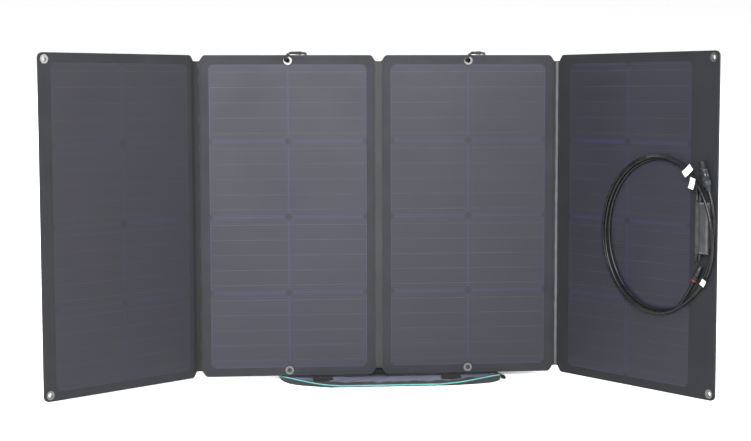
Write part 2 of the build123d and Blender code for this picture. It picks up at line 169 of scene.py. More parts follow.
def lathe(name, start, axis, profile, sides, ribs=0, rib_from=0.0, rib_to=0.0, depth=0.0):
    """A turned piece: profile is (distance along the axis, radius) in mm.

    Grip flutes, where it has any, lie between rib_from and rib_to along the axis.
    """
    axis = axis.normalized()
    side = axis.orthogonal().normalized()
    other = axis.cross(side)
    verts, faces = [], []
    for reach, radius in profile:
        for k in range(sides):
            angle = 2 * math.pi * k / sides
            r = radius
            if ribs and rib_from <= reach <= rib_to:
                r -= depth * (0.5 + 0.5 * math.cos(ribs * angle))
            ring = side * math.cos(angle) + other * math.sin(angle)
            verts.append(start + (axis * reach + ring * r) * MM)
    for j in range(len(profile) - 1):
        for k in range(sides):
            n = (k + 1) % sides
            faces.append((j * sides + k, j * sides + n, (j + 1) * sides + n, (j + 1) * sides + k))
    faces.append(tuple(range(sides)))
    faces.append(tuple(range((len(profile) - 1) * sides, len(profile) * sides)))
    return mesh_object(name, verts, faces)


def tube(name, points, radius, closed=False):
    """A round cord or piping as a NURBS curve along control points in metres.

    The points carry its radius, which keeps the curve's bounding box close around it.
    """
    curve = bpy.data.curves.new(name, "CURVE")
    curve.dimensions = "3D"
    spline = curve.splines.new("NURBS")
    spline.points.add(len(points) - 1)
    for point, place in zip(spline.points, points):
        point.co = (*place, 1.0)
        point.radius = radius * MM
    spline.order_u = 3
    spline.use_endpoint_u = not closed
    spline.use_cyclic_u = closed
    spline.resolution_u = 6
    curve.bevel_depth = 1.0
    curve.bevel_resolution = 3
    curve.use_fill_caps = not closed
    made = bpy.data.objects.new(name, curve)
    bpy.context.scene.collection.objects.link(made)
    return made


def rounded(corners, radii):
    """A closed outline through (x, y) corners, each rounded by its radius."""
    outline = []
    count = len(corners)
    for i in range(count):
        here = Vector(corners[i])
        before = (Vector(corners[i - 1]) - here).normalized()
        after = (Vector(corners[(i + 1) % count]) - here).normalized()
        angle = before.angle(after)
        reach = radii[i] / math.tan(angle / 2)
        a, b = here + before * reach, here + after * reach
        for k in range(ROUND_STEPS + 1):
            t = k / ROUND_STEPS
            outline.append(a * (1 - t) ** 2 + here * 2 * t * (1 - t) + b * t**2)
    return outline


def ease(value, low, high):
    """0 below low, 1 above high, and a smooth rise between them."""
    t = max(0.0, min(1.0, (value - low) / (high - low)))
    return t * t * (3 - 2 * t)


def panel_outline(x0, x1, folds, inset):
    """A panel's fabric outline, notched beside each fold line, as (x, y) points in mm."""
    low, high = FOOT + inset, TOP - inset
    corners, radii = [], []
    sides = ((x1, -1, folds[1], (high, low)), (x0, 1, folds[0], (low, high)))
    for x, inward, fold, heights in sides:
        for step, y in enumerate(heights):
            into = -1 if y == high else 1
            if not fold:
                corners.append((x + inward * inset, y))
                radii.append(CORNER_R - inset * 0.5)
                continue
            notch = [
                (x + inward * (NOTCH_AT + inset * 0.6), y),
                (x + inward * (NOTCH_FOOT_AT + inset * 0.6), y + into * NOTCH_DEEP),
            ]
            order = 1 if step == 0 else -1
            corners += notch[::order]
            radii += [NOTCH_R, NOTCH_FOOT_R][::order]
    return rounded(corners, radii)


def spread(outline, pitch):
    """Points and directions a pitch apart along a closed outline."""
    places, carry = [], 0.0
    for a, b in zip(outline, outline[1:] + outline[:1]):
        length = (b - a).length
        if length < 1e-6:
            continue
        direction = (b - a) / length
        at = carry
        while at < length:
            places.append((a + direction * at, direction))
            at += pitch
        carry = at - length
    return places


def stitches(name, face, outline, z):
    """A row of sewing thread lying on a face, along a closed outline in mm."""
    verts, faces = [], []
    for place, way in spread(outline, STITCH_PITCH):
        across = Vector((-way.y, way.x)) * STITCH_WIDE / 2
        base = len(verts)
        for along, lift, width in ((0, 0, 0.6), (0.3, 1, 1), (0.7, 1, 1), (1, 0, 0.6)):
            spot = place + way * STITCH_LONG * along
            for sign in (-1, 1):
                edge = spot + across * sign * width
                verts.append(face.at(edge.x, edge.y, z + STITCH_RISE * lift * 0.5))
            verts.append(face.at(spot.x, spot.y, z + STITCH_RISE * (0.3 + 0.7 * lift)))
        for a in (base, base + 3, base + 6):
            b = a + 3
            faces += [(a, b, b + 2, a + 2), (a + 2, b + 2, b + 1, a + 1), (a, a + 1, b + 1, b)]
        faces += [(base, base + 2, base + 1), (base + 9, base + 10, base + 11)]
    return mesh_object(name, verts, faces)


def ripple(x, y, scale, seed):
    """Smooth noise over a face, from -1 to 1."""
    return noise.noise(Vector((x * scale, y * scale, seed)))


# --- materials ----------------------------------------------------------------------------------
class Look:
    """A node material, with its texture coordinates in mm on a face, or plain object ones."""

    def __init__(self, name, face, **values):
        self.material = bpy.data.materials.new(name)
        self.material.use_nodes = True
        self.tree = self.material.node_tree
        self.shader = self.tree.nodes["Principled BSDF"]
        for key, value in values.items():
            self.shader.inputs[key.replace("_", " ")].default_value = value
        where = self.tree.nodes.new("ShaderNodeTexCoord").outputs["Object"]
        mapping = self.tree.nodes.new("ShaderNodeMapping")
        mapping.vector_type = "TEXTURE"
        mapping.inputs["Scale"].default_value = (MM, MM, MM)
        if face:
            mapping.inputs["Location"].default_value = face.origin * MM
            mapping.inputs["Rotation"].default_value = face.euler()
        self.tree.links.new(where, mapping.inputs["Vector"])
        self.place = mapping.outputs["Vector"]

    def link(self, value, socket):
        """Set a socket to a plain value, or link another socket to it."""
        if isinstance(value, (int, float, tuple)):
            socket.default_value = value
        else:
            self.tree.links.new(value, socket)

    def math(self, operation, a, b=0.0, c=0.0):
        node = self.tree.nodes.new("ShaderNodeMath")
        node.operation = operation
        for socket, value in zip(node.inputs, (a, b, c)):
            self.link(value, socket)
        return node.outputs[0]

    def axes(self):
        """The place's x, y and z."""
        node = self.tree.nodes.new("ShaderNodeSeparateXYZ")
        self.link(self.place, node.inputs[0])
        return node.outputs[0], node.outputs[1], node.outputs[2]

    def noise(self, scale, detail=3.0):
        node = self.tree.nodes.new("ShaderNodeTexNoise")
        node.inputs["Scale"].default_value = scale
        node.inputs["Detail"].default_value = detail
        self.link(self.place, node.inputs["Vector"])
        return node.outputs["Fac"]

    def mix(self, factor, a, b, kind="MIX"):
        """A blend of two colours, from a at 0 to b at 1."""
        node = self.tree.nodes.new("ShaderNodeMix")
        node.data_type = "RGBA"
        node.blend_type = kind
        self.link(factor, node.inputs["Factor"])
        for key, value in (("A", a), ("B", b)):
            socket = [s for s in node.inputs if s.name == key and s.type == "RGBA"][0]
            self.link((*value, 1.0) if isinstance(value, tuple) else value, socket)
        return [s for s in node.outputs if s.type == "RGBA"][0]

    def between(self, value, low, high, to_low=0.0, to_high=1.0):
        """A value's way from low to high, clamped, as a way between two results."""
        node = self.tree.nodes.new("ShaderNodeMapRange")
        for socket, number in zip(node.inputs, (value, low, high, to_low, to_high)):
            self.link(number, socket)
        return node.outputs[0]

    def wave(self, value, pitch):
        """1 on lines a pitch apart, falling to 0 half way between them."""
        turn = self.math("MULTIPLY", value, 2 * math.pi / pitch)
        return self.math("MULTIPLY_ADD", self.math("COSINE", turn), 0.5, 0.5)

    def apart(self, value, pitch, offset):
        """How far a value is from the nearest of the lines a pitch apart."""
        shifted = self.math("ADD", value, pitch * 1000.5 - offset)
        within = self.math("MODULO", shifted, pitch)
        return self.math("ABSOLUTE", self.math("SUBTRACT", within, pitch / 2))

    def cell_shade(self, cells_left):
        """A number of its own for each cell, blended with broad clouds."""
        x, y = self.axes()[:2]
        column = self.math("DIVIDE", self.math("SUBTRACT", x, cells_left), PITCH_X)
        row = self.math("DIVIDE", self.math("SUBTRACT", y, CELLS_FOOT), PITCH_Y)
        seed = self.math("MULTIPLY", self.math("FLOOR", column), 3.17)
        seed = self.math("MULTIPLY_ADD", self.math("FLOOR", row), 7.31, seed)
        cell = self.tree.nodes.new("ShaderNodeTexWhiteNoise")
        cell.noise_dimensions = "1D"
        self.link(seed, cell.inputs["W"])
        own = self.math("MULTIPLY", cell.outputs[0], 0.4)
        return self.math("MULTIPLY_ADD", self.noise(0.01), 0.6, own)

    def bump(self, height, strength, distance):
        """Add a bump, as deep as the distance in mm, to those the shader has already."""
        node = self.tree.nodes.new("ShaderNodeBump")
        node.inputs["Strength"].default_value = strength
        node.inputs["Distance"].default_value = distance * MM
        self.link(height, node.inputs["Height"])
        if self.shader.inputs["Normal"].is_linked:
            self.link(self.shader.inputs["Normal"].links[0].from_socket, node.inputs["Normal"])
        self.link(node.outputs[0], self.shader.inputs["Normal"])
        return self

    def colour(self, value):
        self.link(value, self.shader.inputs["Base Color"])
        return self

    def rough(self, value):
        self.link(value, self.shader.inputs["Roughness"])
        return self


def toned(tone, *colour):
    """A colour made deeper or paler by a factor."""
    return tuple(c * tone for c in colour)


def weave_look(name, face, dark, light, pitch, rough, sheen=0.06, grid=0.0, valley_shade=None):
    """Woven cloth: crossing threads, blotches of shade, and faint creases.

    A grid is how strongly the laminate's dimples show through, with painted shade in their
    hollows;
    the last argument is (x where the cloth is still plain, x where it has gone darkest) of a band
    of painted shade beside a fold.
    """
    look = Look(name, face, Sheen_Weight=sheen, Sheen_Roughness=0.5, Specular_IOR_Level=0.2)
    x, y, z = look.axes()
    threads = look.math("MAXIMUM", look.wave(x, pitch), look.wave(look.math("ADD", y, z), pitch))
    blotch = look.noise(0.012, 4.0)
    fine = look.noise(0.5, 2.0)
    tone = look.between(look.math("MULTIPLY_ADD", fine, 0.45, blotch), 0.45, 1.0)
    base = look.mix(tone, dark, light)
    base = look.mix(look.math("MULTIPLY", threads, 0.18), base, light)
    if grid:
        cross = look.math("MAXIMUM", look.wave(x, DIMPLE), look.wave(y, DIMPLE))
        # painted shade: the colour is darkened in the dimples' hollows
        dimple_shade = look.math("MULTIPLY_ADD", cross, -grid, grid)
        base = look.mix(dimple_shade, base, (0.4, 0.4, 0.42), "MULTIPLY")
        look.bump(cross, 0.1, 0.12)
    if valley_shade:
        # painted shade: the cloth darkens towards the fold, standing in for the fold's shadow
        wear_and_fold_shade = look.between(x, *valley_shade, 0.0, 0.9)
        base = look.mix(wear_and_fold_shade, base, toned(0.3, *dark))
    look.colour(base).rough(look.between(fine, 0.2, 0.8, rough - 0.08, rough + 0.1))
    look.bump(threads, 0.35, 0.12)
    look.bump(look.noise(0.03, 3.0), 0.35, 1.2)
    return look.material


def plastic_look(name, colour, rough, grain=1.5, coat=0.0, gloss=0.25):
    """Moulded plastic: fine grain, and scuffs that change its gloss."""
    look = Look(name, None, Coat_Weight=coat, Specular_IOR_Level=gloss)
    scuff = look.noise(0.08, 5.0)
    pale = tuple(min(1.0, c * 1.5 + 0.006) for c in colour)
    look.colour(look.mix(look.between(scuff, 0.35, 0.8, 0.0, 0.6), colour, pale))
    look.rough(look.between(scuff, 0.3, 0.75, rough - 0.08, rough + 0.15))
    look.bump(look.noise(grain, 2.0), 0.2, 0.06)
    return look.material


def metal_look(name, colour, rough):
    """Plated metal: faint brushing and duller patches."""
    look = Look(name, None, Metallic=1.0)
    wear_and_fold_shade = look.noise(0.35, 4.0)
    pale = tuple(min(1.0, c * 1.15) for c in colour)
    look.colour(look.mix(wear_and_fold_shade, toned(0.8, *colour), pale))
    look.rough(look.between(wear_and_fold_shade, 0.3, 0.7, rough - 0.06, rough + 0.14))
    look.bump(look.noise(2.5, 2.0), 0.12, 0.05)
    return look.material


def cells_look(name, face, cells_left, dark, light):
    """Dark wafers, each with a shade of its own."""
    look = Look(name, face, Roughness=0.45, Specular_IOR_Level=0.25)
    shade = look.cell_shade(cells_left)
    return look.colour(look.mix(look.between(shade, 0.25, 0.8), dark, light)).material


def film_look(name, face, cells_left, tint):
    """The satin laminate: dimples, and below it the cells, their busbars and bluish gaps."""
    look = Look(name, face, Specular_IOR_Level=0.3, Sheen_Weight=0.04)
    x, y = look.axes()[:2]
    over, up = look.apart(x, PITCH_X, cells_left), look.apart(y, PITCH_Y, CELLS_FOOT)
    violet = tuple(c * k for c, k in zip(tint, (1.22, 1.26, 1.75)))
    brown = tuple(c * k for c, k in zip(tint, (1.03, 0.97, 0.92)))

    # the cells' own shades under a cloudy haze
    haze = look.between(look.noise(0.006), 0.3, 0.7)
    shade = look.between(look.cell_shade(cells_left), 0.3, 0.75)
    base = look.mix(shade, brown, toned(1.06, *tint))
    base = look.mix(look.math("MULTIPLY", haze, 0.5), base, toned(1.12, *tint))

    # five faint busbars on each cell, which stop short of its sides
    bar = look.between(look.apart(y, PITCH_Y / 5, CELLS_FOOT + PITCH_Y / 10), 1.5, 0.5)
    faint = look.between(look.noise(0.02, 2.0), 0.35, 0.7, 0.25, 0.7)
    within = look.math("MULTIPLY", faint, look.between(over, 2.5, 4.5))
    base = look.mix(look.math("MULTIPLY", bar, within), base, toned(2.1, *tint))

    # the gaps between cells, and the dark diamonds where four corners meet
    base = look.mix(look.between(up, 6.5, 3.0, 0.0, 0.55), base, violet)
    base = look.mix(look.between(over, 4.0, 2.0, 0.0, 0.6), base, violet)
    joint = look.math("MINIMUM", over, up)
    base = look.mix(look.between(joint, 1.8, 0.9, 0.0, 0.35), base, toned(1.25, *violet))
    corner = look.between(look.math("ADD", over, up), 9.5, 8.0, 0.0, 0.8)
    base = look.mix(corner, base, toned(0.55, *tint))

    # the dimples: a raised grid, and painted shade in its hollows
    cross = look.math("MAXIMUM", look.wave(x, DIMPLE), look.wave(y, DIMPLE))
    cross = look.math("POWER", cross, 2.0)
    dimple_shade = look.math("MULTIPLY_ADD", cross, -0.9, 0.9)
    base = look.mix(dimple_shade, base, (0.42, 0.42, 0.45), "MULTIPLY")
    look.colour(base).rough(look.between(haze, 0.0, 1.0, 0.5, 0.62))
    look.bump(look.noise(0.015, 2.0), 0.2, 1.2)
    look.bump(cross, 0.15, 0.1)
    return look.material


def paint(thing, material):
    """Give a piece one material, in its slots if it is a CAD node."""
    if isinstance(thing, str):
        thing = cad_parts[thing]
    if thing.material_slots:
        for spot in thing.material_slots:
            spot.material = material
    else:
        thing.data.materials.append(material)
    return thing


def settle(thing, material, slot_name, body, *nodes):
    """A new piece: its material, the body it rides on and the CAD nodes it stands for."""
    paint(thing, material)
    if nodes:
        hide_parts(*nodes)
    if body:
        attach(thing, body)
    return thing


rubber = plastic_look("lead rubber", (0.003, 0.003, 0.0035), 0.3, 1.2)
black_plastic = plastic_look("black plastic", (0.006, 0.0065, 0.007), 0.34, 1.8)
box_plastic = plastic_look("box plastic", (0.02, 0.02, 0.0215), 0.34, 1.6, 0.5, 0.5)
grip_plastic = plastic_look("grip plastic", (0.007, 0.009, 0.009), 0.45, 1.8)
red_plastic = plastic_look("red plastic", (0.22, 0.012, 0.016), 0.4)
white_tag = plastic_look("white tag", (0.5, 0.5, 0.5), 0.55, 0.8)
hidden_board = plastic_look("stiffener", (0.012, 0.012, 0.014), 0.7)
steel = metal_look("eyelet steel", (0.15, 0.148, 0.143), 0.3)
black_steel = plastic_look("black coated steel", (0.006, 0.006, 0.0065), 0.35, 1.5, 0.2)
thread = plastic_look("thread", (0.012, 0.012, 0.013), 0.7, 3.0)
webbing = weave_look("webbing", None, (0.003, 0.003, 0.0035), (0.009, 0.009, 0.01), 1.4, 0.8)
shell_cloth = weave_look(
    "case shell", None, (0.005, 0.005, 0.006), (0.012, 0.012, 0.014), 1.1, 0.7
)
lining = weave_look(
    "case lining", None, (0.03, 0.031, 0.047), (0.095, 0.097, 0.145), 0.7, 0.42, 0.1
)
rear_cloth = weave_look(
    "rear lining", None, (0.02, 0.0205, 0.027), (0.045, 0.046, 0.061), 0.8, 0.6, 0.08
)
zip_tape = weave_look(
    "zip tape", None, (0.014, 0.014, 0.016), (0.026, 0.026, 0.03), 0.8, 0.75
)
teal = plastic_look("teal zip", (0.085, 0.28, 0.27), 0.4, 1.5)

# --- the four panels ----------------------------------------------------------------------------
# painted shade: the wings' cloth and film, and the right centre's film, are darker copies of one
# material, standing in for the light falling more slantwise on them
PANEL_CLOTH_SHADE = {"left_wing": 0.68, "left_centre": 1.0, "right_centre": 1.0, "right_wing": 0.58}
PANEL_FILM_SHADE = {"left_wing": 0.57, "left_centre": 1.0, "right_centre": 0.88, "right_wing": 0.84}
CLOTH_DARK, CLOTH_LIGHT = (0.009, 0.0099, 0.0121), (0.0167, 0.0183, 0.0222)
BACK_DARK, BACK_LIGHT = (0.007, 0.007, 0.008), (0.015, 0.015, 0.017)
CELL_DARK, CELL_LIGHT = (0.016, 0.016, 0.024), (0.026, 0.026, 0.037)
FILM_TINT = (0.0138, 0.0141, 0.0236)
EDGE_R, EDGE_IN, HEM_IN = 2.15, 1.9, 7.0

for name, (face, body, x0, x1, folds, cells_left) in PANELS.items():
    # the panel's painted shade, on its cloth
    panel_shade = PANEL_CLOTH_SHADE[name]
    dark, light = toned(panel_shade, *CLOTH_DARK), toned(panel_shade, *CLOTH_LIGHT)
    # painted shade along the left wing's fold
    valley_shade = (-16.0, -10.0) if name == "left_wing" else None
    front = weave_look(name + " cloth", face, dark, light, 1.0, 0.68, 0.05, 0.5, valley_shade)
    back = weave_look(name + " back", face, BACK_DARK, BACK_LIGHT, 1.2, 0.75)
    paint(name + "_front_cover", front)
    paint(name + "_back_cover", back)
    paint(name + "_board", hidden_board)
    paint(name + "_eyelets", steel)
    # the panel's painted shade, on its cells and film
    panel_shade = PANEL_FILM_SHADE[name]
    dark, light = toned(panel_shade, *CELL_DARK), toned(panel_shade, *CELL_LIGHT)
    paint(name + "_cells", cells_look(name + " cells", face, cells_left, dark, light))
    film = film_look(name + " film", face, cells_left, toned(panel_shade, *FILM_TINT))
    paint(name + "_film", film)

    edge = [face.at(p.x, p.y, FRONT_Z / 2) for p in panel_outline(x0, x1, folds, EDGE_IN)]
    roll = tube(name + "_edge_roll", edge, EDGE_R, closed=True)
    settle(roll, front, "panel_fabric", body)
    open_left, open_right = (HEM_IN * (not fold) for fold in folds)
    hem = panel_outline(x0 + open_left, x1 - open_right, folds, HEM_IN)
    settle(stitches(name + "_stitches", face, hem, FRONT_Z), thread, "panel_fabric", body)
    behind = Face(face.origin, face.x, face.y, -face.z)
    settle(stitches(name + "_back_stitches", behind, hem, 0.0), thread, "panel_back", body)


STRIP_HALF, STRIP_END = 12.5, 12.7
STRIP_DARK, STRIP_LIGHT = (0.015, 0.0153, 0.0156), (0.026, 0.0264, 0.0268)


def fold_strip(name, tone, axis_x, fold):
    """The cloth hinge between two panels: bent smoothly about the fold axis."""
    half, low, high = STRIP_HALF, FOOT + STRIP_END, TOP - STRIP_END
    axis = EX * axis_x + OUT * FRONT_Z

    def spot(s, y, z):
        x_way, z_way = bent_axes(fold[0] + (fold[1] - fold[0]) * ease(s, -half, half))
        return (axis + x_way * s + z_way * (z - FRONT_Z) + UP * y) * MM

    count, tall = 24, 150
    steps = [-half + 2 * half * i / count for i in range(count + 1)]
    ring = []
    for s in steps:
        lip = math.cos(math.pi / 2 * s / half) ** 0.5 if abs(s) < half else 0.0
        ring.append((s, FRONT_Z - 0.85 + 0.95 * lip))
    for s in reversed(steps):
        ring.append((s, 0.3 - 0.75 * (abs(s) < half)))
    verts, faces = [], []
    for j in range(tall + 1):
        y = low + (high - low) * j / tall
        for s, z in ring:
            wave = 0.22 * ripple(y, s * 2.0, 0.05, axis_x) * (z > 1)
            verts.append(spot(s, y, z + wave))
    width = len(ring)
    for j in range(tall):
        here, above = j * width, (j + 1) * width
        for i in range(width):
            n = (i + 1) % width
            faces.append((here + i, here + n, above + n, above + i))
    faces.append(tuple(range(width)))
    faces.append(tuple(range(tall * width, (tall + 1) * width)))
    strip = mesh_object(name, verts, faces)
    # the tone scales this strip's cloth colours: painted shade below 1, painted light above 1
    dark, light = toned(tone, *STRIP_DARK), toned(tone, *STRIP_LIGHT)
    paint(strip, weave_look(name + " cloth", None, dark, light, 1.0, 0.7))
    middle = (FOOT + TOP) / 2
    spot(-half, middle, FRONT_Z)
    spot(half, middle, FRONT_Z)
    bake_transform(strip)


# painted shade on the left strip and painted light on the right one, for how the light falls on
# each fold
fold_strip("left_fold_strip", 0.3, -PANEL_W, (-LEFT_FOLD, 0))
fold_strip("centre_fold_strip", 1.0, 0.0, (0, 0))
fold_strip("right_fold_strip", 2.7, PANEL_W, (0, RIGHT_FOLD))

# --- the carabiners and their loops -------------------------------------------------------------
HOOK_X, EYELET_H, HOOK_R, LOOP_R = 191.5, TOP - 11.5, 2.9, 2.9
RING_YAW, RING_ROLL, RING_H = math.radians(38), math.radians(38), 20.5
# the bent wire, in the ring's own plane
RING_PATH = [
    (11, 20.5), (5, 20.5), (-5, 20.6), (-11.6, 18.5), (-12.4, 10.2), (-11.4, 1.8), (-4, -0.2),
    (6, 0), (24, 0), (42, 0), (50.5, 1.2), (52.6, 10.2), (50.5, 19.4), (42, 20.5), (34, 20.5),
]  # fmt: skip
RIVET = [(0, 0.8), (0.15, 1.15), (0.5, 1.2), (4.1, 1.2), (4.45, 1.15), (4.6, 0.8)]
SLEEVE = [
    (0, 2.0), (0.5, 3.4), (5, 3.8), (5.4, 3.4), (10, 3.6), (10.4, 4.0), (19, 3.7), (20.6, 2.0),
]  # fmt: skip
HOOKS = (
    ("left", -HOOK_X, "stand", "left_gate"),
    ("right", HOOK_X, "right_centre", "right_gate"),
)
ring_along = EX * math.sin(RING_YAW) - OUT * math.cos(RING_YAW)
ring_up = UP * math.cos(RING_ROLL) + ring_along.cross(UP) * math.sin(RING_ROLL)
ring_side = ring_along.cross(ring_up)

for side, x, body, gate in HOOKS:
    hook = Face(EX * x + UP * EYELET_H + OUT * (FRONT_Z / 2), ring_along, ring_up, ring_side)
    wire = tube(side + "_carabiner_wire", [hook.at(a, b) for a, b in RING_PATH], HOOK_R)
    settle(wire, black_steel, "carabiner_black", body, side + "_carabiner_frame")
    paint(side + "_carabiner_gate", black_steel)
    pivot = lathe(side + "_gate_rivet", hook.at(33.4, RING_H, -2.3), hook.z, RIVET, 16)
    settle(pivot, black_steel, "carabiner_black", body)
    start = hook.at(12, RING_H, 0)
    barrel = lathe(side + "_gate_sleeve", start, hook.x, SLEEVE, 24, 14, 0.4, 18.0, 0.16)
    settle(barrel, black_steel, "carabiner_black", gate)

    def loop(u, v, hook=hook):
        """Webbing folded round the lower wire."""
        angle = 2 * math.pi * v * 0.86 + math.pi * 0.14 - math.pi / 2
        return hook.at(22 + (u - 0.5) * 9, LOOP_R * math.sin(angle), LOOP_R * math.cos(angle))

    band = cloth(side + "_loop", 6, 30, loop, 0.9)
    settle(band, webbing, "webbing", body, side + "_case_loop")

    def eyelet_shadow(u, v, x=x):
        """A dark sheet behind the eyelet: painted shadow seen through its hole."""
        return centre.at(x + (u - 0.5) * 24, EYELET_H + (v - 0.5) * 20, -1.0)

    settle(cloth(side + "_eyelet_shadow_patch", 4, 4, eyelet_shadow, 0.8), webbing, "webbing", body)

# --- junction box, leads and connectors ---------------------------------------------------------
GLANDS_X, GLAND_TOP, GLAND_FOOT, GLAND_Z = (391.2, 399.8), 388.6, 285.4, 5.6
GLAND_NUT = [
    (0, 3.2), (0.3, 4.1), (4.0, 4.1), (4.4, 3.6), (5.0, 3.5), (12.6, 2.95), (13.0, 2.2),
]  # fmt: skip
wing = Face(right.origin + UP * FOOT + right.z * FRONT_Z, right.x, UP, right.z)
for node in ("junction_box_base", "junction_box_lid", "junction_box_glands"):
    paint(node, box_plastic)
for x in GLANDS_X:
    for y, way in ((GLAND_TOP, 1), (GLAND_FOOT, -1)):
        name, start = "gland_nut_%d_%d" % (x, y), wing.at(x, y, GLAND_Z)
        nut = lathe(name, start, wing.y * way, GLAND_NUT, 24, 6, 0.3, 4.0, 0.35)
        settle(nut, grip_plastic, "box_plastic", "right_wing")

# the coil's inner and outer strand: centre, half width and half height
COIL_INNER = (294.6, 317.0, 136.0, 152.6)
COIL_OUTER = (288.6, 316.8, 148.4, 158.9)


def coil_point(turn, share, z):
    """A point of the coil: turn in degrees from the right, anticlockwise; share 0 is inside."""
    a = math.radians(turn)
    inner, outer = (
        (x + wide * math.cos(a), y + tall * math.sin(a))
        for x, y, wide, tall in (COIL_INNER, COIL_OUTER)
    )
    return wing.at(*(i + (o - i) * share for i, o in zip(inner, outer)), z)


LEAD_R = 3.0
END_A, END_B = wing.at(424, 410, 10), wing.at(388, 233, 7.6)
lead_a = [wing.at(391.2, 401.6, 5.6), wing.at(391.2, 408, 5.8), wing.at(390, 418, 7)]
for k in range(21):
    turn = 52 + 15 * k
    share = 0.5 + 0.2 * math.sin(math.radians(turn * 1.7)) - 0.45 * ease(turn, 270, 330)
    lift = 9.8 - 4.6 * ease(turn, 285, 335)
    lead_a.append(coil_point(turn, max(share, 0.03), lift))
lead_a += [wing.at(434.5, 345, 6.6), wing.at(434.5, 362, 8), wing.at(431.5, 384, 9)]
lead_a += [wing.at(426.5, 402, 9.8), END_A]
lead_b = [wing.at(399.8, 401.6, 5.6), wing.at(399.8, 405, 5.6), wing.at(397.5, 412, 6)]
for k in range(41):
    turn = 50 + 15.1 * k
    share = 0.05 + 0.93 * ease(turn, 285, 345) - 0.12 * ease(turn, 375, 395)
    share = share + 0.12 * ease(turn, 420, 450) - 0.2 * ease(turn, 600, 650)
    hump = ease(turn, 335, 368) * (1 - ease(turn, 392, 428))
    lead_b.append(coil_point(turn, share, 4.6 + 10.6 * hump + 5.4 * ease(turn, 560, 640)))
lead_b += [wing.at(373.5, 208.5, 8), wing.at(382.5, 223.5, 7.8), END_B]


def line_length(curve_object):
    """A curve's own length, without its thickness, in metres."""
    depth = curve_object.data.bevel_depth
    curve_object.data.bevel_depth = 0.0
    bpy.context.view_layer.update()
    shown = curve_object.evaluated_get(bpy.context.evaluated_depsgraph_get())
    line = bpy.data.meshes.new_from_object(shown)
    curve_object.data.bevel_depth = depth
    ends = ((line.vertices[e.vertices[0]].co, line.vertices[e.vertices[1]].co) for e in line.edges)
    return sum((a - b).length for a, b in ends)


# the connectors' profiles, each from its lead outwards
GRIP_A = [
    (0, 3.2), (0.2, 4.6), (2.2, 5.0), (2.6, 4.5), (4.0, 4.6), (4.4, 5.6), (6.2, 5.8), (6.6, 5.1),
    (8.0, 5.2), (8.4, 6.6), (10.4, 7.0), (10.9, 8.3), (11.6, 8.8), (19.6, 8.8), (20.4, 8.3),
    (21.0, 7.8),
]  # fmt: skip
BODY_A = [
    (0, 7.4), (0.5, 8.2), (16, 8.2), (16.5, 7.8), (17.5, 7.8), (18, 8.1), (24, 7.9), (24.7, 7.0),
    (25.2, 6.6), (36.8, 6.5), (37.6, 6.1), (38, 5.4), (38, 4.4), (33, 4.2),
]  # fmt: skip
GRIP_B = [
    (0, 3.2), (0.2, 4.6), (0.8, 5.0), (1.2, 5.8), (2.0, 6.4), (9.8, 6.5), (10.6, 6.2), (11, 5.4),
]  # fmt: skip
RING_B = [(0, 4.9), (0.2, 6.1), (1.9, 6.3), (2.1, 5.5)]
BODY_B = [
    (0, 5.0), (0.4, 5.8), (8, 5.8), (8.4, 5.3), (9.4, 5.3), (9.8, 5.8), (15.8, 5.6), (16.4, 4.6),
    (24.4, 4.2), (25, 3.6), (25, 2.6), (21, 2.4),
]  # fmt: skip
cord_a = tube("lead_a_cord", lead_a, LEAD_R)
cord_b = tube("lead_b_cord", lead_b, LEAD_R)
a_way = (END_A - wing.at(430.9, 386, 9)).normalized()
b_way = (END_B - wing.at(373.5, 208.5, 7)).normalized()
grip_a = lathe("connector_a_grip_piece", END_A, a_way, GRIP_A, 48, 16, 11.0, 20.0, 0.7)
body_a = lathe("connector_a_body_piece", END_A + a_way * 21 * MM, a_way, BODY_A, 40)
grip_b = lathe("connector_b_grip_piece", END_B, b_way, GRIP_B, 48, 14, 1.8, 10.0, 0.5)
ring_b = lathe("connector_b_ring", END_B + b_way * 0.3 * MM, b_way, RING_B, 36)
body_b = lathe("connector_b_body_piece", END_B + b_way * 11 * MM, b_way, BODY_B, 36)
settle(cord_a, rubber, "lead_rubber", "right_wing", "lead_a")
settle(cord_b, rubber, "lead_rubber", "right_wing", "lead_b", "lead_coil")
settle(grip_a, grip_plastic, "connector_plastic", "right_wing", "connector_a_grip")
settle(body_a, black_plastic, "connector_plastic", "right_wing", "connector_a_body")
settle(grip_b, grip_plastic, "connector_plastic", "right_wing", "connector_b_grip")
settle(ring_b, red_plastic, "connector_plastic", "right_wing")
settle(body_b, black_plastic, "connector_plastic", "right_wing", "connector_b_body")


def tag_piece(name, u, h, turn, width, length, z, bend):
    """A white slip round a lead, curling up at both ends."""
    spin = math.radians(turn)
    x_way = wing.x * math.cos(spin) + wing.y * math.sin(spin)
    y_way = wing.y * math.cos(spin) - wing.x * math.sin(spin)

    def point(a, b):
        lift = bend * ((a - 0.5) * 2) ** 2
        slip = x_way * (a - 0.5) * width + y_way * (b - 0.5) * length
        return wing.at(u, h, z + lift) + slip * MM

    return cloth(name, 12, 6, point, 0.35)


tags = [
    tag_piece("tag_upper", 375.6, 448, 40, 25, 14, 15.6, 1.6),
    tag_piece("tag_middle", 386, 423.5, 75, 22, 13, 15.4, 1.2),
    tag_piece("tag_lower", 415.2, 231.5, 60, 13, 11, 13.4, 0.8),
]
settle(tags[0], white_tag, "tag_white", "right_wing", "lead_tags")
settle(tags[1], white_tag, "tag_white", "right_wing")
settle(tags[2], white_tag, "tag_white", "right_wing")
line_length(cord_a)  # fmt: skip
line_length(cord_b)  # fmt: skip

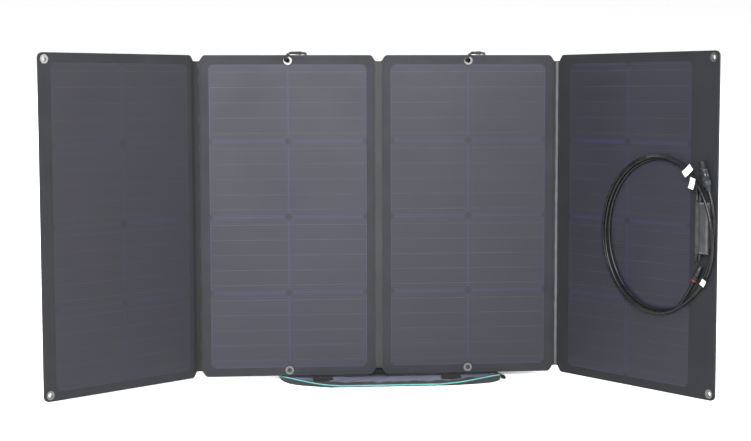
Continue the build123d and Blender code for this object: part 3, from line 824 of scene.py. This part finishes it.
# --- the case's front half ----------------------------------------------------------------------
CASE_X, CASE_HALF = 24.0, 220.0
GUSSET_HALF, GUSSET_FRONT, GUSSET_BACK = 238.0, -45.5, 13.0
ZIP_AT, CHAIN_RISE = 0.985, Vector((0, 0, 0.0014))
case = Face(EX * CASE_X, EX, UP, OUT)


def gusset_front(x):
    """How far forward the zip along the lower wall's edge lies at x."""
    t = min(1.0, max(0.0, (abs(x) - 100) / 136))
    return GUSSET_FRONT + (54 * t**1.5 if x < 0 else 37 * t**1.2)


def gusset_outer(x):
    """How far forward the wall itself bulges at x, below the zip."""
    t = min(1.0, max(0.0, (abs(x) - 130) / 107))
    round_end = 1 - (1 - t**6) ** 0.5
    return GUSSET_FRONT - 2.0 + (26 * t + 50 * round_end if x < 0 else 12 * t + 25 * round_end)


def gusset_lift(x, v):
    """Wrinkles of the lower wall and its rise at both ends, in mm above the floor."""
    end = ease(abs(x), 140, GUSSET_HALF)
    folds = 3.2 * ripple(x, v * 50, 0.028, 3.0) + 3.4 * ripple(x + 90 * v, v * 40, 0.055, 8.0)
    crease = 3.4 * abs(ripple(x * 0.8 + 90 * v, v * 90, 0.022, 5.0))
    swell = math.sin(math.pi * min(1.0, v * 1.05)) ** 0.8
    return 1.0 + 1.6 * (1 - v) + (folds + crease) * swell + 5.0 * end * (0.4 + 0.6 * v) * v


def gusset_point(u, v, low=0.0, high=1.0):
    """A point of the lower wall, between low and high of its way from the case to its zip."""
    x = (u - 0.5) * 2 * (GUSSET_HALF - 1)
    w = low + (high - low) * v
    rear = GUSSET_BACK + 14 * ease(abs(x), 200, GUSSET_HALF)
    y = rear + (gusset_front(x) - rear) * w
    return Vector((CASE_X + x, y, gusset_lift(x, w))) * MM


def gusset_band(u, v):
    """The darker tape beside the zip, a little above the wall."""
    return gusset_point(u, v, 0.66, ZIP_AT) + Vector((0, 0, 0.0006))


wall = cloth("gusset_cloth", 150, 26, lambda u, v: gusset_point(u, v, 0.0, 0.7), 0.7)
settle(wall, lining, "case_lining", "stand", "case_front_gusset")
settle(cloth("gusset_band", 150, 10, gusset_band, 1.0), zip_tape, "case_shell", "stand")


def skirt(u, v):
    """The outer wall under the zip, down to the floor, fuller at both ends."""
    top = gusset_point(u, ZIP_AT)
    x = (u - 0.5) * 2 * (GUSSET_HALF - 1)
    lower = Vector((top.x, gusset_outer(x) * MM, 0.9 * MM))
    place = top.lerp(lower, v)
    full = 3.0 * math.sin(math.pi * v) * ease(abs(x), 130, 200)
    place.z += (full + 0.8 * ripple(x, v * 40, 0.05, 9.0) * v * (1 - v)) * MM
    return place


settle(cloth("gusset_skirt", 150, 10, skirt, 0.8), zip_tape, "case_shell", "stand")
path = [gusset_point(i / 60, ZIP_AT) + CHAIN_RISE for i in range(61)]
chain = tube("front_zip_chain", path, 1.35)
settle(chain, teal, "teal_zip", "stand", "case_front_zip")

# one tooth: along the zip, across it and up
TOOTH = [
    (-1, -1, 0), (1, -1, 0), (1, 1, 0), (-1, 1, 0),
    (-0.6, -0.9, 1), (0.6, -0.9, 1), (0.6, 0.9, 1), (-0.6, 0.9, 1),
]  # fmt: skip
TOOTH_FACES = [(4, 5, 6, 7), (0, 1, 5, 4), (1, 2, 6, 5), (2, 3, 7, 6), (3, 0, 4, 7)]


def zip_teeth(name, points, size, rise):
    """The coil of a zip: small bars across the chain."""
    verts, faces = [], []
    up = Vector(rise)
    for a, b in zip(points, points[1:]):
        way = (b - a).normalized()
        across = way.cross(up).normalized()
        base = len(verts)
        middle = (a + b) / 2 + up * size * 0.75 * MM
        for sx, sy, sz in TOOTH:
            reach = way * sx * size * 0.33 + across * sy * size + up * sz * size * 0.45
            verts.append(middle + reach * MM)
        faces += [tuple(base + i for i in f) for f in TOOTH_FACES]
    return mesh_object(name, verts, faces)


dense = [gusset_point(i / 240, ZIP_AT) + CHAIN_RISE for i in range(6, 235)]
teeth = zip_teeth("front_zip_teeth", dense, 1.5, (0, -0.3, 0.95))
settle(teeth, teal, "teal_zip", "stand")

PAD_PLACES, PAD_WIDE = (-144.0, 131.0), 43
for k, x in enumerate(PAD_PLACES):

    def patch(u, v, x=x):
        """A webbing patch on the lower wall."""
        at = x + (u - 0.5) * PAD_WIDE
        w = 0.04 + 0.44 * v
        y = GUSSET_BACK + (GUSSET_FRONT - GUSSET_BACK) * w
        lift = gusset_lift(x + (at - x) * 0.3, w)
        return Vector((CASE_X + at, y, lift + 1.8)) * MM

    pad = cloth("strap_pad_%d" % k, 16, 8, patch, 1.2)
    settle(pad, webbing, "webbing", "stand", *(["case_strap_pads"] if k == 0 else []))

CORNER_TABS = (
    ("left", ((-240, 30, 9), (-231, 24, 9), (-225, 12, 7.5))),
    ("right", ((222, 12, 8.5), (240, 2, 7.5), (246, -16, 3.5))),
)
for side, ends in CORNER_TABS:

    def corner_tab(u, v, ends=ends):
        """A twisted end of tape at the lower wall's corner."""
        a, b, c = (Vector(p) for p in ends)
        spot = a * (1 - v) ** 2 + b * 2 * v * (1 - v) + c * v * v
        along = (b - a).lerp(c - b, v).normalized()
        spot += Vector((along.y, -along.x, 0)) * (u - 0.5) * (9 + 2.5 * math.sin(v * 17))
        return (spot + Vector((CASE_X, 0, 0.9 * math.sin(v * 11)))) * MM

    settle(cloth("corner_tab_" + side, 6, 16, corner_tab, 1.0), webbing, "webbing", "stand")


def notch_shadow_patch(u, v):
    """A dark sheet behind the bottom notch: painted shadow in the gap behind the panels."""
    return case.at(-CASE_X + (u - 0.5) * 44, 9 + 40 * v, -4.3)


settle(cloth("notch_shadow_patch", 6, 6, notch_shadow_patch, 0.5), webbing, "webbing", "stand")


def front_lining(u, v):
    x, y = (u - 0.5) * 2 * (CASE_HALF - 0.5), 7.0 + 664 * v
    wave = 0.5 * ripple(x, y, 0.02, 1.0) * math.sin(math.pi * v) * math.sin(math.pi * u)
    return case.at(x, y, -5.6 + wave)


def outer_cloth(face, low, tall, z, seeds):
    """The points of a case half's outer cloth, which ripples away from its board."""

    def point(u, v):
        x, y = (u - 0.5) * 2 * CASE_HALF, low + tall * v
        wave = 1.0 * abs(ripple(x, y, 0.012, seeds[0])) + 0.5 * ripple(x, y, 0.05, seeds[1])
        return face.at(-x, y, z - 1.1 * wave * math.sin(math.pi * v) * math.sin(math.pi * u))

    return point


made = cloth("front_lining_cloth", 60, 90, front_lining, 0.7)
settle(made, lining, "case_lining", "stand", "case_front_lining")
made = cloth("front_shell_cloth", 60, 90, outer_cloth(case, 6.5, 665, -11.2, (2.0, 4.0)), 1.0)
settle(made, shell_cloth, "case_shell", "stand", "case_front_shell")
paint("case_front_board", hidden_board)


def flap(name, face, side, low, high, z, body, node=None):
    """A soft side wall lying outwards beside a case half, wavy along its free edge."""

    def point(u, v):
        y = low + (high - low) * v
        x = side * (CASE_HALF - 1 + 19 * u)
        wave = (1.6 * ripple(y, side * 9, 0.022, 6.0) + 0.8 * ripple(y, side * 3, 0.06, 7.0)) * u
        return face.at(x, y, z + wave)

    made = cloth(name, 8, 110, point, 1.1)
    settle(made, rear_cloth, "case_shell", body, *([node] if node else []))


flap("front_flap_left", case, -1, 38, 664, -8.0, "stand", "case_front_flaps")
flap("front_flap_right", case, 1, 38, 664, -8.0, "stand")

# --- the spine and the rear half ----------------------------------------------------------------
LEG, SPINE_R = math.radians(12), 2.5
spine = UP * 674.7 + OUT * -15.4 + EX * CASE_X
leg_up = Vector((0, -math.sin(LEG), math.cos(LEG)))
leg = Face(spine, -EX, leg_up, Vector((0, math.cos(LEG), math.sin(LEG))))
LEG_LOW, LEG_TOP = -spine.z / math.cos(LEG) + 4.0, -3.2
LEG_TALL = LEG_TOP - LEG_LOW


def spine_point(u, v):
    """Cloth from the top of the front half, over the spine, to the top of the rear half."""
    x = (u - 0.5) * 2 * (CASE_HALF - 6)
    angle = math.radians(-10 + 205 * v)
    r = SPINE_R + 0.35 * ripple(x, v * 20, 0.03, 2.0)
    return (spine + EX * x + UP * math.sin(angle) * r + OUT * math.cos(angle) * r) * MM


roll_cloth = cloth("spine_cloth", 90, 14, spine_point, 0.5)
settle(roll_cloth, shell_cloth, "case_shell", "stand", "case_spine")


def hinge_point(u, v):
    """The strip inside the fold, from the front half to the spine and down the rear half."""
    x = (u - 0.5) * 2 * (CASE_HALF - 6)
    if v < 0.5:
        t = v / 0.5
        a, b = case.at(x, 660, -11.9), (spine + EX * x + OUT * 2.2) * MM
    else:
        t = (v - 0.5) / 0.5
        a, b = (spine + EX * x - UP * 2.4) * MM, leg.at(-x, -16, -3.5)
    return a.lerp(b, t)


hinge = cloth("hinge_cloth", 60, 16, hinge_point, 0.6)
paint(hinge, shell_cloth)
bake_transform(hinge)


def rear_lining(u, v):
    x, y = (u - 0.5) * 2 * (CASE_HALF - 0.5), LEG_LOW + 1 + (LEG_TALL - 2) * v
    wave = 0.9 * ripple(x, y, 0.014, 11.0) + 0.4 * ripple(x, y, 0.045, 12.0)
    return leg.at(x, y, 3.0 + wave * math.sin(math.pi * v) * math.sin(math.pi * u))


made = cloth("rear_lining_cloth", 70, 100, rear_lining, 0.7)
settle(made, rear_cloth, "case_lining", "leg", "case_rear_lining")
outside = outer_cloth(leg, LEG_LOW + 0.5, LEG_TALL - 1, -3.2, (21.0, 22.0))
made = cloth("rear_shell_cloth", 70, 100, outside, 1.0)
settle(made, shell_cloth, "case_shell", "leg", "case_rear_shell")
paint("case_rear_board", hidden_board)
paint("case_rear_hem", webbing)
flap("rear_flap_left", leg, -1, LEG_LOW + 30, LEG_TOP - 8, 0.6, "leg", "case_rear_flaps")
flap("rear_flap_right", leg, 1, LEG_LOW + 30, LEG_TOP - 8, 0.6, "leg")
for k, side in enumerate((-1, 1)):
    heights = (LEG_LOW + 38 + (LEG_TALL - 56) * i / 300 for i in range(301))
    line = [leg.at(side * 235.5, y, 2.4) for y in heights]
    tape = tube("rear_zip_chain_%d" % k, line[::10], 1.7)
    settle(tape, teal, "teal_zip", "leg", *(["case_rear_zip"] if k == 0 else []))
    teeth = zip_teeth("rear_zip_teeth_%d" % k, line, 1.9, tuple(leg.z))
    settle(teeth, teal, "teal_zip", "leg")


def pocket_point(u, v):
    """The inner pocket, fuller in its middle and slack along its top."""
    x, y = (u - 0.5) * 326, LEG_LOW + 87 + 206 * v
    swell = 2.6 * math.sin(math.pi * u) ** 0.4 * math.sin(math.pi * min(1.0, v * 0.72 + 0.14))
    wave = 0.8 * ripple(x, y, 0.03, 31.0) + 0.5 * ripple(x * 3, y, 0.03, 33.0) * v
    return leg.at(x, y, 3.3 + swell + wave * math.sin(math.pi * u))


def cuff_point(u, v):
    """The pocket's elastic top edge, gathered in small folds."""
    x, y = (u - 0.5) * 328, LEG_LOW + 276 + 18 * v
    gather = 0.7 * math.sin(x * 0.55) * math.sin(math.pi * v)
    return leg.at(x, y, 6.4 + gather + 0.9 * math.sin(math.pi * u))


STRAP_Y, BUCKLE_Z = -190.0, 4.6


def cross_strap(u, v):
    x, y = (u - 0.5) * 418, STRAP_Y + (v - 0.5) * 38
    slack = 0.6 * ripple(x, y, 0.02, 41.0) * math.sin(math.pi * u)
    return leg.at(x, y, 4.2 + 0.8 * math.sin(math.pi * u) + slack)


made = cloth("pocket_cloth", 60, 40, pocket_point, 0.8)
settle(made, rear_cloth, "case_lining", "leg", "case_pocket")
settle(cloth("pocket_cuff", 160, 6, cuff_point, 1.2), webbing, "webbing", "leg")
made = cloth("cross_strap", 90, 8, cross_strap, 1.3)
settle(made, webbing, "webbing", "leg", "case_cross_strap")


def block(x0, y0, x1, y1, radius):
    """A rectangle's outline, with rounded corners."""
    return rounded([(x0, y0), (x1, y0), (x1, y1), (x0, y1)], [radius] * 4)


def bound_edge(name, face, half, low, high, z, body):
    """Binding tape sewn round a case half's edge, with its stitches inside it."""
    outline = [face.at(p.x, p.y, z) for p in block(-half, low, half, high, 9.0)]
    tape = tube(name + "_binding", outline, 2.2, closed=True)
    settle(tape, webbing, "webbing", body)
    reach = half * (1 - 6 / half)
    inner = block(-reach, low + 6, reach, high - 6, 5.0)
    settle(stitches(name + "_binding_stitches", face, inner, z + 1.4), thread, "webbing", body)


bound_edge("rear", leg, CASE_HALF - 2.5, LEG_LOW + 3, LEG_TOP - 17, 2.6, "leg")
pocket_seam = block(-159, LEG_LOW + 90, 159, LEG_LOW + 274, 6.0)
settle(stitches("pocket_stitches", leg, pocket_seam, 6.4), thread, "case_lining", "leg")


def soften(thing, width, segments):
    """Round off a piece's sharp edges, by a width in metres."""
    bevel = thing.modifiers.new("soft edge", "BEVEL")
    bevel.width = width
    bevel.segments = segments
    bevel.limit_method = "ANGLE"


def plate(name, face, outline, low, high):
    """A flat moulded piece: an outline on a face, from one height to another."""
    count = len(outline)
    verts = [face.at(p.x, p.y, z) for z in (low, high) for p in outline]
    faces = [tuple(range(count)), tuple(range(count, 2 * count))]
    faces += [(i, (i + 1) % count, (i + 1) % count + count, i + count) for i in range(count)]
    made = mesh_object(name, verts, faces, False)
    soften(made, 0.0009, 3)
    return made


# the buckle on the cross strap: part, its sides and corner radius, and from what height to what
for part, (x0, y0, x1, y1, radius), low, high in (
    ("socket", (2, -22, 36, 22, 5.0), 0.0, 9.0),
    ("plug", (-34, -21, -4, 21, 4.0), 0.0, 7.0),
    ("prongs", (-6, -14, 6, 14, 2.0), 2.0, 6.5),
    ("bar", (-28, -15, -22, 15, 1.5), 6.0, 8.6),
    ("grip_low", (12, -25, 26, -18, 2.0), 1.5, 7.5),
    ("grip_high", (12, 18, 26, 25, 2.0), 1.5, 7.5),
):
    shape = block(x0, y0 + STRAP_Y, x1, y1 + STRAP_Y, radius)
    moulded = plate("buckle_" + part, leg, shape, BUCKLE_Z + low, BUCKLE_Z + high)
    settle(moulded, black_plastic, "zip_metal", "leg")

PULL_CORD = [(0, 0.8), (0.5, 1.3), (10, 1.4), (12, 2.0), (30, 2.3), (33, 1.9), (34, 1.0)]
start = leg.at(CASE_HALF + 18 - 2.5, LEG_TOP - 70, 6.6)
puller = lathe("zip_pull_cord", start, -leg.y, PULL_CORD, 20, 10, 12.0, 30.0, 0.25)
settle(puller, teal, "teal_zip", "zip_slider")
paint("zip_slider", black_steel)

for node in ("junction_box_base", "junction_box_lid", "zip_slider"):
    soften(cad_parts[node], 0.00035, 2)
for name in PANELS:
    soften(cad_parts[name + "_eyelets"], 0.00035, 2)

# --- floor and light ----------------------------------------------------------------------------
FLOOR, FLOOR_GREY, SKY = [(-12, -8, 0), (12, -8, 0), (12, 16, 0), (-12, 16, 0)], 0.8, 1.1
LAMP_AIM = Vector((0, 0, 0.35))
# name, place, diameter and power
LAMPS = (
    ("key light", (-0.5, -3.0, 2.4), 2.0, 300),
    ("side light", (2.6, -1.4, 1.6), 1.4, 60),
    ("back light", (-0.6, 2.8, 2.4), 2.0, 170),
)
floor = mesh_object("floor", FLOOR, [(0, 1, 2, 3)], False)
paint(floor, plastic_look("floor", (FLOOR_GREY,) * 3, 0.9, 0.05))
world = bpy.data.worlds.new("studio")
world.use_nodes = True
background = world.node_tree.nodes["Background"]
background.inputs["Color"].default_value = (1.0, 1.0, 1.0, 1)
background.inputs["Strength"].default_value = SKY
bpy.context.scene.world = world
for name, place, size, power in LAMPS:
    lamp = bpy.data.lights.new(name, "AREA")
    lamp.shape, lamp.size, lamp.energy = "DISK", size, power
    made = bpy.data.objects.new(name, lamp)
    made.location = place
    made.rotation_euler = (LAMP_AIM - Vector(place)).to_track_quat("-Z", "Y").to_euler()
    bpy.context.scene.collection.objects.link(made)
bpy.context.scene.view_settings.view_transform = "Standard"

bpy.context.view_layer.update()
